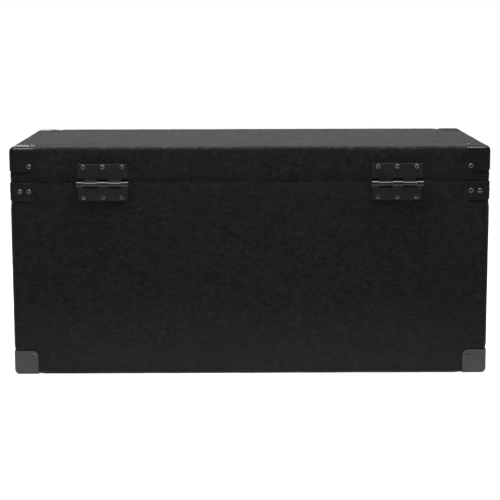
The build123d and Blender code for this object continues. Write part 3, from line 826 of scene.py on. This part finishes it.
def corner_shell(name, vertex, toward):
    """One pressed corner over the felt, its vertex at a place, its legs toward three directions."""
    grid = leg_grid(corner_leg, corner_radius, corner_steps)
    columns = len(grid)
    points = []
    faces = []
    for leg in range(3):
        faces += grid_faces(columns, columns, start=len(points))
        for row in grid:
            for u, v in row:
                flat = [0.0, 0.0, 0.0]
                flat[(leg + 1) % 3] = u
                flat[(leg + 2) % 3] = v
                point = on_ball_corner(flat, corner_radius)
                points.append([vertex[axis] + toward[axis] * point[axis] for axis in range(3)])
    mesh = mesh_of(name, points, faces)
    piece = show(name, mesh)
    inward = Vector(toward)
    if sum(polygon.normal.dot(inward) for polygon in mesh.polygons) > 0:
        mesh.flip_normals()
    wall = piece.modifiers.new("steel", "SOLIDIFY")
    wall.thickness = steel
    wall.offset = -1
    wall.use_even_offset = True
    settle(piece)
    return piece


def join(name, pieces):
    """Several pieces as one."""
    shell = bmesh.new()
    for piece in pieces:
        shell.from_mesh(piece.data)
        bpy.data.objects.remove(piece)
    mesh = bpy.data.meshes.new(name)
    shell.to_mesh(mesh)
    shell.free()
    return show(name, mesh)


def make_corners():
    """Eight ball-cornered steel shells, in front and rear pairs."""
    # The base corners take the lighter coat that paints in the floor's reflection.
    for kind, body, coat in (("base", "case", painted_floor_reflection_coat), ("lid", "lid", corner_coat)):
        for end in ("front", "rear"):
            node = f"{kind}_corners_{end}"
            low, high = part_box(node)
            shells = []
            for side in (-1, 1):
                vertex = (
                    low.x if side < 0 else high.x,
                    low.y if end == "front" else high.y,
                    low.z if kind == "base" else high.z,
                )
                toward = (-side, 1 if end == "front" else -1, 1 if kind == "base" else -1)
                shells.append(corner_shell(f"shell_{side}", vertex, toward))
            pair = join(f"{kind}_corner_shells_{end}", shells)
            softened(pair, coat, pressed_edge)
            dress(pair, body, "black_steel", coat, node)


def make_hardware():
    """Rim brackets, hinge leaves, latches and handle plates."""
    for end in ("front", "rear"):
        pressed_copy(f"rim_brackets_{end}", f"rim_bracket_strips_{end}", "case", corner_coat)
    pressed_copy("hinge_upper_leaves", "hinge_lid_leaves", "lid", leaf_coat, width=leaf_edge)
    pressed_copy("hinge_lower_leaves", "hinge_base_leaves", "case", leaf_coat, width=leaf_edge)
    for side in ("left", "right"):
        latch = f"latch_{side}_"
        pressed_copy(latch + "case", latch + "housing", "case", latch_coat)
        pressed_copy(latch + "keeper", latch + "catch", "lid", latch_coat)
        pressed_copy(latch + "wing", latch + "knob", latch + "rotor", latch_coat, width=knob_edge)
        pressed_copy(latch + "crank", latch + "disc", latch + "rotor", latch_coat, width=thin_edge)
        pressed_copy(latch + "yoke", latch + "slider", latch + "slide", latch_coat, width=thin_edge)
        pressed_copy(latch + "claw", latch + "hook_plate", latch + "hook", latch_coat)
        pressed_copy(f"handle_{side}_plate", f"handle_{side}_backplate", "case", latch_coat)


# Rivets

def rivet_seats(node):
    """The middle of each rivet head's seat, and the way the head faces."""
    seats = []
    for points in islands(joined_triangles(node)):
        low = points.min(0)
        high = points.max(0)
        axis = int(np.argmax(high - low))
        middle = (low + high) / 2
        beside = np.delete(points - middle, axis, axis=1)
        wide = np.linalg.norm(beside, axis=1) > rivet_shank
        level = points[wide, axis]
        outward = np.zeros(3)
        outward[axis] = 1.0 if level.mean() > middle[axis] else -1.0
        middle[axis] = level.min() if outward[axis] > 0 else level.max()
        seats.append((middle, outward))
    return sorted(seats, key=lambda seat: tuple(seat[0]))


def rivet_tree():
    """Geometry nodes that set a domed blind rivet with a mandrel hole on every point."""
    tree = bpy.data.node_groups.new("domed_rivets", "GeometryNodeTree")
    sockets = {}
    for label, kind in (
        ("Seats", "Geometry"), ("Head Radius", "Float"), ("Head Height", "Float"),
        ("Hole Radius", "Float"), ("Coat", "Material"),
    ):
        socket_type = "NodeSocket" + kind
        sockets[label] = tree.interface.new_socket(label, in_out="INPUT", socket_type=socket_type)
    tree.interface.new_socket("Rivets", in_out="OUTPUT", socket_type="NodeSocketGeometry")
    given = tree.nodes.new("NodeGroupInput").outputs
    made = tree.nodes.new("NodeGroupOutput")
    sheet = add(tree, "GeometryNodeMeshGrid", {
        "Size X": 1.0, "Size Y": 1.0, "Vertices X": rivet_around + 1, "Vertices Y": rivet_rings,
    })
    place = split(tree, add(tree, "GeometryNodeInputPosition").outputs[0])
    angle = maths(tree, "MULTIPLY", maths(tree, "ADD", place["X"], 0.5), 2 * math.pi)
    run = maths(tree, "ADD", place["Y"], 0.5)
    out = maths(tree, "DIVIDE", run, rivet_dome_share)
    back = maths(tree, "DIVIDE", maths(tree, "SUBTRACT", 1.0, run), 1 - rivet_dome_share)
    share = maths(tree, "MAXIMUM", maths(tree, "MINIMUM", out, back), 0.0)
    radius = maths(tree, "MULTIPLY", share, given["Head Radius"])
    inside = maths(tree, "SUBTRACT", 1.0, maths(tree, "POWER", share, 2.0))
    round_top = maths(tree, "POWER", maths(tree, "MAXIMUM", inside, 0.0), 0.5)
    dome = maths(tree, "MULTIPLY", round_top, given["Head Height"])
    is_hole = maths(tree, "LESS_THAN", radius, given["Hole Radius"])
    is_under = maths(tree, "GREATER_THAN", run, rivet_under_share)
    kept = maths(tree, "SUBTRACT", 1.0, maths(tree, "MULTIPLY", is_hole, rivet_hole_depth))
    shown = maths(tree, "MULTIPLY", dome, kept)
    lifted = maths(tree, "MULTIPLY", shown, maths(tree, "SUBTRACT", 1.0, is_under))
    height = maths(tree, "SUBTRACT", lifted, rivet_sink)
    flat_x = maths(tree, "MULTIPLY", radius, maths(tree, "COSINE", angle))
    flat_y = maths(tree, "MULTIPLY", radius, maths(tree, "SINE", angle))
    point = add(tree, "ShaderNodeCombineXYZ", {"X": flat_x, "Y": flat_y, "Z": height})
    marked = add(tree, "GeometryNodeStoreNamedAttribute", {
        "Geometry": sheet.outputs["Mesh"], "Name": "across_head", "Value": share,
    }, data_type="FLOAT", domain="POINT")
    head = add(tree, "GeometryNodeSetPosition", {
        "Geometry": marked.outputs[0], "Position": point.outputs[0],
    })
    closed = add(tree, "GeometryNodeMergeByDistance", {"Geometry": head.outputs[0], "Distance": weld})
    outward = add(tree, "GeometryNodeInputNamedAttribute", {"Name": "outward"}, data_type="FLOAT_VECTOR")
    turn = add(tree, "FunctionNodeAlignRotationToVector", {"Vector": outward.outputs[0]}, axis="Z")
    set_out = add(tree, "GeometryNodeInstanceOnPoints", {
        "Points": given["Seats"], "Instance": closed.outputs[0], "Rotation": turn.outputs[0],
    })
    real = add(tree, "GeometryNodeRealizeInstances", {"Geometry": set_out.outputs[0]})
    coated = add(tree, "GeometryNodeSetMaterial", {
        "Geometry": real.outputs[0], "Material": given["Coat"],
    })
    wire(tree, made.inputs[0], coated.outputs[0])
    return tree, sockets


def make_rivets():
    """Every rivet of the case, one piece for each group of the frame."""
    tree, sockets = rivet_tree()
    settings = {
        "Head Radius": rivet_radius, "Head Height": rivet_height, "Hole Radius": rivet_hole,
        "Coat": rivet_coat,
    }
    for node in sorted(name for name in cad if name.endswith("_rivets")):
        seats = rivet_seats(node)
        name = node + "_domed"
        mesh = bpy.data.meshes.new(name)
        mesh.from_pydata([tuple(middle) for middle, outward in seats], [], [])
        layer = mesh.attributes.new("outward", "FLOAT_VECTOR", "POINT")
        layer.data.foreach_set("vector", np.array([outward for middle, outward in seats]).ravel())
        piece = show(name, mesh)
        setter = piece.modifiers.new("rivets", "NODES")
        setter.node_group = tree
        for label, value in settings.items():
            setter[sockets[label].identifier] = value
        settled = settle(piece)
        shell = bmesh.new()
        shell.from_mesh(settled)
        bmesh.ops.recalc_face_normals(shell, faces=shell.faces)
        shell.to_mesh(settled)
        shell.free()
        settled.shade_smooth()
        settled.set_sharp_from_angle(angle=crease_angle)
        body = "lid" if node.startswith(("lid", "keeper")) else "case"
        dress(piece, body, "rivet_black", rivet_coat, node)


# Handles

def tube(name, x, places, radii, sides):
    """A round bar through (y, z) places at one x, a radius given at each place, closed at its ends."""
    points = []
    count = len(places)
    for index, (place, radius) in enumerate(zip(places, radii)):
        before = Vector(places[max(index - 1, 0)])
        after = Vector(places[min(index + 1, count - 1)])
        along = (after - before).normalized()
        for step in range(sides):
            angle = 2 * math.pi * step / sides
            lift = radius * math.sin(angle)
            beside = x + radius * math.cos(angle)
            points.append((beside, place[0] - along.y * lift, place[1] + along.x * lift))
    faces = grid_faces(count, sides, closed=True)
    faces.append(tuple(range(sides)))
    faces.append(tuple(range((count - 1) * sides, count * sides)))
    return show(name, mesh_of(name, points, faces))


def bail_places(half, high, low):
    """(y, z) places along the bail, from the end in one eye to the end in the other."""
    near = half - bail_bend
    places = [(half - bail_stub, high), (half - bail_stub + bail_stub_step, high)]
    for middle_z, start in ((high - bail_bend, 90), (low + bail_bend, 0)):
        for index in range(bail_bend_steps + 1):
            angle = math.radians(start - 90 * index / bail_bend_steps)
            places.append((near + bail_bend * math.cos(angle), middle_z + bail_bend * math.sin(angle)))
    return places + [(-y, z) for y, z in reversed(places)]


def grip_profile():
    """(place along the grip, radius) from end to end, drawn in at the ends and ribbed between."""
    profile = []
    for index in range(grip_steps + 1):
        along = -grip_half + 2 * grip_half * index / grip_steps
        from_end = grip_half - abs(along)
        draw = min(1.0, from_end / grip_taper)
        radius = grip_end_radius + (grip_radius - grip_end_radius) * math.sin(math.pi / 2 * draw)
        if from_end > grip_taper:
            groove = 0.5 - 0.5 * math.cos(2 * math.pi * along / grip_rib_pitch)
            radius -= grip_rib_depth * groove ** grip_rib_sharpness
        profile.append((along, radius))
    return profile


def make_handles():
    """A bent bail and a ribbed grip on each end of the case."""
    profile = grip_profile()
    for side in ("left", "right"):
        low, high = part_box(f"handle_{side}_bail")
        x = (low.x + high.x) / 2
        middle_y = (low.y + high.y) / 2
        half = (high.y - low.y) / 2 - bail_radius
        path = bail_places(half, high.z - bail_radius, low.z + bail_radius)
        places = [(y + middle_y, z) for y, z in path]
        bail = tube(f"handle_{side}_bar", x, places, [bail_radius] * len(places), bail_sides)
        bail.data.set_sharp_from_angle(angle=smooth_angle)
        dress(bail, f"handle_{side}", "black_steel", latch_coat, f"handle_{side}_bail")
        low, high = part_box(f"handle_{side}_grip")
        line = [((low.y + high.y) / 2 + along, (low.z + high.z) / 2) for along, radius in profile]
        radii = [radius for along, radius in profile]
        grip = tube(f"handle_{side}_sleeve", x, line, radii, grip_sides)
        grip.data.set_sharp_from_angle(angle=grip_crease_angle)
        dress(grip, f"handle_{side}", "grip_rubber", grip_skin, f"handle_{side}_grip")


# Foam pads

def soft_block(low, high, radius, step):
    """Points and faces of a block with rounded edges, in steps small enough to ripple."""
    points = []
    faces = []
    middle = (low + high) / 2
    half = (high - low) / 2
    for axis in range(3):
        first, second = (axis + 1) % 3, (axis + 2) % 3
        marks = []
        for other in (first, second):
            flat_end = half[other] - radius
            steps = range(1, foam_edge_steps + 1)
            ends = [flat_end + radius * index / foam_edge_steps for index in steps]
            inside = max(2, round(2 * flat_end / step))
            run = np.linspace(-flat_end, flat_end, inside + 1).tolist()
            marks.append([-end for end in reversed(ends)] + run + ends)
        for side in (-1, 1):
            faces += grid_faces(len(marks[1]), len(marks[0]), start=len(points))
            for v in marks[1]:
                for u in marks[0]:
                    flat = Vector((0, 0, 0))
                    flat[axis] = side * half[axis]
                    flat[first] = u
                    flat[second] = v
                    reach = zip(half, flat)
                    core = Vector([max(radius - far, min(far - radius, part)) for far, part in reach])
                    away = (flat - core).normalized()
                    lifted = core + away * radius
                    wave = soft_noise(lifted + middle, foam_waves)
                    sink = foam_ripple * max(0.0, 0.5 + 0.5 * wave)
                    points.append(middle + lifted - away * sink)
    return points, faces


def make_foam():
    """A foam pad on the floor of each bay, and one under the lid."""
    for node, name, body in (
        ("floor_pads", "floor_foam_pads", "case"),
        ("lid_pad", "lid_foam_pad", "lid"),
    ):
        low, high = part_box(node)
        blocks = [(low, high)]
        if node == "floor_pads":
            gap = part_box("centre_divider")[1].x + (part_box("base_right_panel")[0].x - high.x)
            blocks = [(low, Vector((-gap, high.y, high.z))), (Vector((gap, low.y, low.z)), high)]
        points = []
        faces = []
        for block_low, block_high in blocks:
            new_points, new_faces = soft_block(block_low, block_high, foam_edge, foam_step)
            faces += [tuple(index + len(points) for index in face) for face in new_faces]
            points += new_points
        pad = show(name, mesh_of(name, points, faces))
        dress(pad, body, "foam", foam_skin, node)


def finish_plain_parts():
    """Materials for the plywood and the pins, whose CAD shapes stay."""
    thickness = {"front": "Y", "rear": "Y", "left": "X", "right": "X", "floor": "Z", "top": "Z"}
    for node, part in cad.items():
        finish = None
        if node == "centre_divider":
            finish = plywood_by_axis["X"]
        elif node.endswith(("_panel", "_rail")):
            finish = plywood_by_axis[thickness[node.split("_")[1]]]
        elif node.endswith("_pin") or node == "hinge_pins":
            finish = pin_steel
        if finish:
            part.data.materials.clear()
            part.data.materials.append(finish)


# Studio

def white_world():
    """A white sky for the camera; it lights the case more from behind than from the camera's side."""
    world = bpy.data.worlds.new("studio")
    world.use_nodes = True
    bpy.context.scene.world = world
    tree = world.node_tree
    sky = tree.nodes["Background"]
    sky.inputs["Color"].default_value = grey(1.0)
    path = add(tree, "ShaderNodeLightPath")
    seen = maths(tree, "MAXIMUM", path.outputs["Is Camera Ray"], path.outputs["Is Transmission Ray"])
    way = split(tree, add(tree, "ShaderNodeTexCoord").outputs["Generated"])
    room = between(tree, way["Y"], -sky_turn, sky_turn, sky_behind, sky_before)
    wire(tree, sky.inputs["Strength"], maths(tree, "MAXIMUM", seen, room))


def white_floor():
    """A wide pale floor that keeps the object's shadow."""
    points = [(x * floor_reach, y * floor_reach, 0) for x, y in ((-1, -1), (1, -1), (1, 1), (-1, 1))]
    mesh = bpy.data.meshes.new("studio_floor")
    mesh.from_pydata(points, [], [(0, 1, 2, 3)])
    floor = show("studio_floor", mesh)
    material, tree, surface = finish_named("pale_floor", {
        "Base Color": grey(floor_tone), "Roughness": 0.9, "Specular IOR Level": 0.0,
        "Emission Color": grey(1.0),
    })
    seen = add(tree, "ShaderNodeLightPath").outputs["Is Camera Ray"]
    wire(tree, surface.inputs["Emission Strength"], maths(tree, "MULTIPLY", seen, floor_glow))
    floor.data.materials.append(material)


def soft_light(name, place, aim, size, power):
    """A rectangular softbox at a place, turned to a point."""
    lamp = bpy.data.lights.new(name, "AREA")
    lamp.shape = "RECTANGLE"
    lamp.size, lamp.size_y = size
    lamp.energy = power
    box = bpy.data.objects.new(name, lamp)
    box.location = place
    box.rotation_mode = "QUATERNION"
    box.rotation_quaternion = (Vector(aim) - Vector(place)).to_track_quat("-Z", "Y")
    box.visible_camera = False
    bpy.context.scene.collection.objects.link(box)


def make_studio():
    """White floor and sky, with softboxes overhead, by the camera and low on the latch side."""
    white_world()
    white_floor()
    soft_light("overhead", place=(0.0, 0.34, 1.4), aim=(0.0, 0.15, 0.25), size=(1.25, 0.36), power=25.0)
    soft_light("beside_camera", place=(0.9, 2.6, 1.3), aim=(0.0, 0.0, 0.2), size=(1.6, 1.2), power=4.0)
    soft_light("before_latches", place=(0.42, -2.4, 0.48), aim=(0.0, 0.0, 0.2), size=(1.8, 0.5), power=6.2)


def make_camera():
    """The photograph's view of the hinge side."""
    lens = bpy.data.cameras.new("view")
    lens.lens = camera_lens
    lens.sensor_width = 36.0
    camera = bpy.data.objects.new("view", lens)
    turn = Matrix.Rotation(math.radians(camera_turn), 4, "Z")
    tilt = Matrix.Rotation(math.radians(90 - camera_tilt_down), 4, "X")
    roll = Matrix.Rotation(math.radians(camera_roll), 4, "Z")
    camera.matrix_world = Matrix.Translation(camera_place) @ turn @ tilt @ roll
    bpy.context.scene.collection.objects.link(camera)
    bpy.context.scene.camera = camera


make_camera()
make_studio()
make_carpets()
make_corners()
make_hardware()
make_rivets()
make_handles()
make_foam()
finish_plain_parts()

bpy.context.scene.view_settings.view_transform = "Standard"
